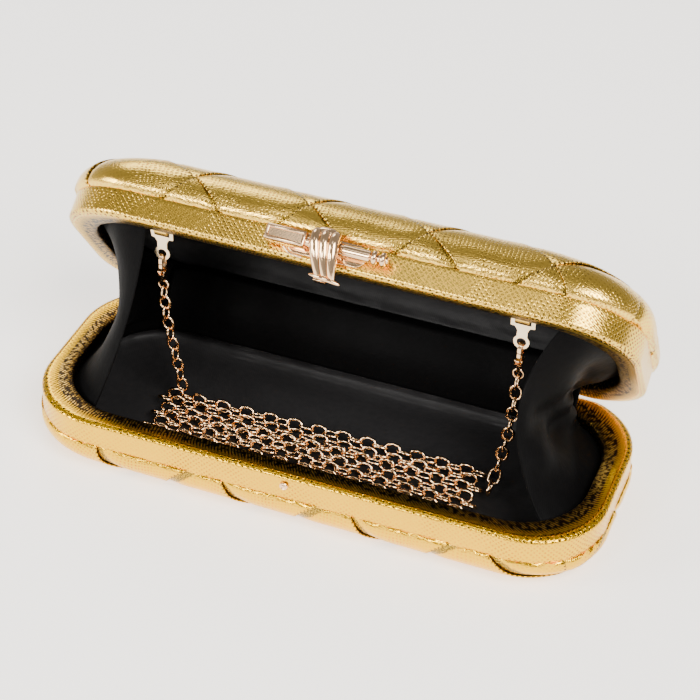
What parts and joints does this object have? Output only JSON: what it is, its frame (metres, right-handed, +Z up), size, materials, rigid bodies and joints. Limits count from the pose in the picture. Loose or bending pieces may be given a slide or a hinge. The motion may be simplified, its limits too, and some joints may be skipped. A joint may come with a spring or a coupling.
{
  "type": "evening clutch",
  "caption": "Slim rounded evening box clutch with a hinged lid, knot clasp, lined gusseted interior and a chain strap on two lobster clasps.",
  "frame": {"origin": "centre of the lower half's flat base, on the surface that it stands on", "axes": "+X along the bag from its left end to its right end as seen from the front, +Y to the back where the hinges are, +Z up; the lid stands open by 53.4 degrees at rest"},
  "size_m": [0.2024, 0.0962, 0.0964],
  "materials": {
    "gold_leather": "metallic gold",
    "moulded_board": "matte",
    "frame_steel": "satin",
    "black_satin": "satin weave",
    "rose_gold": "polished rose gold plate",
    "pale_gold": "polished pale gold plate"
  },
  "bodies": {
    "lower_half": {"lower_woven_cover": "gold_leather", "lower_shell_core": "moulded_board", "lower_lining": "black_satin", "lower_rim_band": "gold_leather", "lower_frame": "frame_steel", "hinge_left_lower_leaf": "frame_steel", "hinge_right_lower_leaf": "frame_steel", "hinge_left_pin": "frame_steel", "hinge_right_pin": "frame_steel", "catch_stud": "rose_gold", "chain_row_1": "rose_gold", "chain_row_2": "rose_gold", "chain_row_3": "rose_gold", "chain_row_4": "rose_gold", "chain_row_5": "rose_gold", "chain_row_6": "rose_gold", "chain_row_7": "rose_gold", "gusset_left": "black_satin", "gusset_right": "black_satin", "back_lining": "black_satin"},
    "lid": {"lid_woven_cover": "gold_leather", "lid_shell_core": "moulded_board", "lid_lining": "black_satin", "lid_rim_band": "gold_leather", "lid_frame": "frame_steel", "hinge_left_upper_leaf": "frame_steel", "hinge_right_upper_leaf": "frame_steel", "strap_anchor_left": "gold_leather", "strap_anchor_right": "gold_leather", "clasp_plate": "rose_gold", "clasp_bar": "rose_gold", "bar_ring_inner": "rose_gold", "bar_ring_outer": "rose_gold", "latch_spring": "rose_gold"},
    "knot": {"knot_lever": "rose_gold"},
    "tab_left": {"strap_tab_left": "pale_gold"},
    "clasp_left": {"lobster_body_left": "rose_gold", "lever_rivet_left": "rose_gold", "jump_ring_left": "rose_gold", "chain_run_left": "rose_gold"},
    "lever_left": {"lobster_lever_left": "rose_gold"},
    "tab_right": {"strap_tab_right": "pale_gold"},
    "clasp_right": {"lobster_body_right": "rose_gold", "lever_rivet_right": "rose_gold", "jump_ring_right": "rose_gold", "chain_run_right": "rose_gold"},
    "lever_right": {"lobster_lever_right": "rose_gold"}
  },
  "joints": [
    {"name": "lid_hinge", "type": "hinge", "parent": "lower_half", "child": "lid", "pos_m": [0, 0.0375, 0.0218], "axis": [1, 0, 0], "range_deg": [0, 53.4], "deforming": ["gusset_left", "gusset_right", "back_lining", "chain_run_left", "chain_run_right"]},
    {"name": "knot_lever_pivot", "type": "hinge", "parent": "lid", "child": "knot", "pos_m": [-0.0025, -0.00636, 0.09075], "axis": [1, 0, 0], "range_deg": [-25, 0], "stiffness_Nm_per_rad": 0.02},
    {"name": "tab_left_swing", "type": "hinge", "parent": "lid", "child": "tab_left", "pos_m": [-0.0625, 0.0002, 0.07706], "axis": [1, 0, 0], "range_deg": [0, 20]},
    {"name": "clasp_left_swing", "type": "hinge", "parent": "tab_left", "child": "clasp_left", "pos_m": [-0.0625, 0.0002, 0.06756], "axis": [0, 1, 0], "range_deg": [-12, 12]},
    {"name": "lever_left_trigger", "type": "hinge", "parent": "clasp_left", "child": "lever_left", "pos_m": [-0.0625, -0.0009, 0.06041], "axis": [1, 0, 0], "range_deg": [-20, 0], "stiffness_Nm_per_rad": 0.0003},
    {"name": "tab_right_swing", "type": "hinge", "parent": "lid", "child": "tab_right", "pos_m": [0.0625, 0.0002, 0.07706], "axis": [1, 0, 0], "range_deg": [0, 20]},
    {"name": "clasp_right_swing", "type": "hinge", "parent": "tab_right", "child": "clasp_right", "pos_m": [0.0625, 0.0002, 0.06756], "axis": [0, 1, 0], "range_deg": [-12, 12]},
    {"name": "lever_right_trigger", "type": "hinge", "parent": "clasp_right", "child": "lever_right", "pos_m": [0.0625, -0.0009, 0.06041], "axis": [1, 0, 0], "range_deg": [-20, 0], "stiffness_Nm_per_rad": 0.0003}
  ]
}
